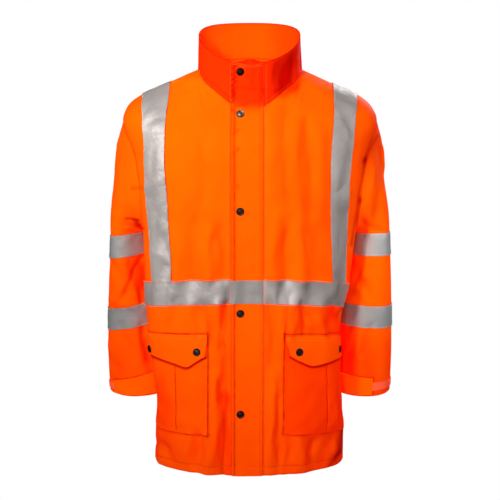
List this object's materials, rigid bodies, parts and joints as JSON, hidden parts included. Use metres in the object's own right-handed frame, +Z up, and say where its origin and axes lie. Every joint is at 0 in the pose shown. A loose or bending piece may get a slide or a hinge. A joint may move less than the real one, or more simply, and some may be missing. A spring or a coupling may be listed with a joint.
{
  "type": "hi-vis work jacket",
  "caption": "Long high visibility work jacket with a stand-up collar, storm flap, reflective tapes and patch pockets, in its worn form and hollow.",
  "frame": {"origin": "middle of the neck opening, level with the points where the collar meets the shoulders, which is where the wearer holds the jacket", "axes": "+Z up, the front faces -Y, +X is towards the wearer's left sleeve"},
  "size_m": [0.6593, 0.2954, 0.9811],
  "materials": {
    "back": "matt fluorescent cloth",
    "brace_tape_left": "silver reflective tape",
    "brace_tape_right": "silver reflective tape",
    "collar": "matt fluorescent cloth",
    "cuff_patch_left": "soft hook and loop patch",
    "cuff_patch_right": "soft hook and loop patch",
    "cuff_tab_left": "matt fluorescent cloth",
    "cuff_tab_right": "matt fluorescent cloth",
    "front_left": "matt fluorescent cloth",
    "front_right": "matt fluorescent cloth",
    "pocket_flap_left": "matt fluorescent cloth",
    "pocket_flap_right": "matt fluorescent cloth",
    "pocket_left": "matt fluorescent cloth",
    "pocket_right": "matt fluorescent cloth",
    "sleeve_left": "matt fluorescent cloth",
    "sleeve_right": "matt fluorescent cloth",
    "sleeve_tape_lower_left": "silver reflective tape",
    "sleeve_tape_lower_right": "silver reflective tape",
    "sleeve_tape_upper_left": "silver reflective tape",
    "sleeve_tape_upper_right": "silver reflective tape",
    "snap_1": "dark metal",
    "snap_2": "dark metal",
    "snap_3": "dark metal",
    "snap_4": "dark metal",
    "snap_5": "dark metal",
    "snap_pocket_left_inner": "dark metal",
    "snap_pocket_left_outer": "dark metal",
    "snap_pocket_right_inner": "dark metal",
    "snap_pocket_right_outer": "dark metal",
    "storm_flap": "matt fluorescent cloth",
    "waist_tape_back": "silver reflective tape",
    "waist_tape_flap": "silver reflective tape",
    "waist_tape_left": "silver reflective tape",
    "waist_tape_right": "silver reflective tape",
    "zip": "woven zip tape"
  },
  "bodies": {
    "root": {"back": "back", "brace_tape_left": "brace_tape_left", "brace_tape_right": "brace_tape_right", "collar": "collar", "cuff_patch_left": "cuff_patch_left", "cuff_patch_right": "cuff_patch_right", "cuff_tab_left": "cuff_tab_left", "cuff_tab_right": "cuff_tab_right", "front_left": "front_left", "front_right": "front_right", "pocket_flap_left": "pocket_flap_left", "pocket_flap_right": "pocket_flap_right", "pocket_left": "pocket_left", "pocket_right": "pocket_right", "sleeve_left": "sleeve_left", "sleeve_right": "sleeve_right", "sleeve_tape_lower_left": "sleeve_tape_lower_left", "sleeve_tape_lower_right": "sleeve_tape_lower_right", "sleeve_tape_upper_left": "sleeve_tape_upper_left", "sleeve_tape_upper_right": "sleeve_tape_upper_right", "snap_1": "snap_1", "snap_2": "snap_2", "snap_3": "snap_3", "snap_4": "snap_4", "snap_5": "snap_5", "snap_pocket_left_inner": "snap_pocket_left_inner", "snap_pocket_left_outer": "snap_pocket_left_outer", "snap_pocket_right_inner": "snap_pocket_right_inner", "snap_pocket_right_outer": "snap_pocket_right_outer", "storm_flap": "storm_flap", "waist_tape_back": "waist_tape_back", "waist_tape_flap": "waist_tape_flap", "waist_tape_left": "waist_tape_left", "waist_tape_right": "waist_tape_right", "zip": "zip"}
  },
  "joints": []
}
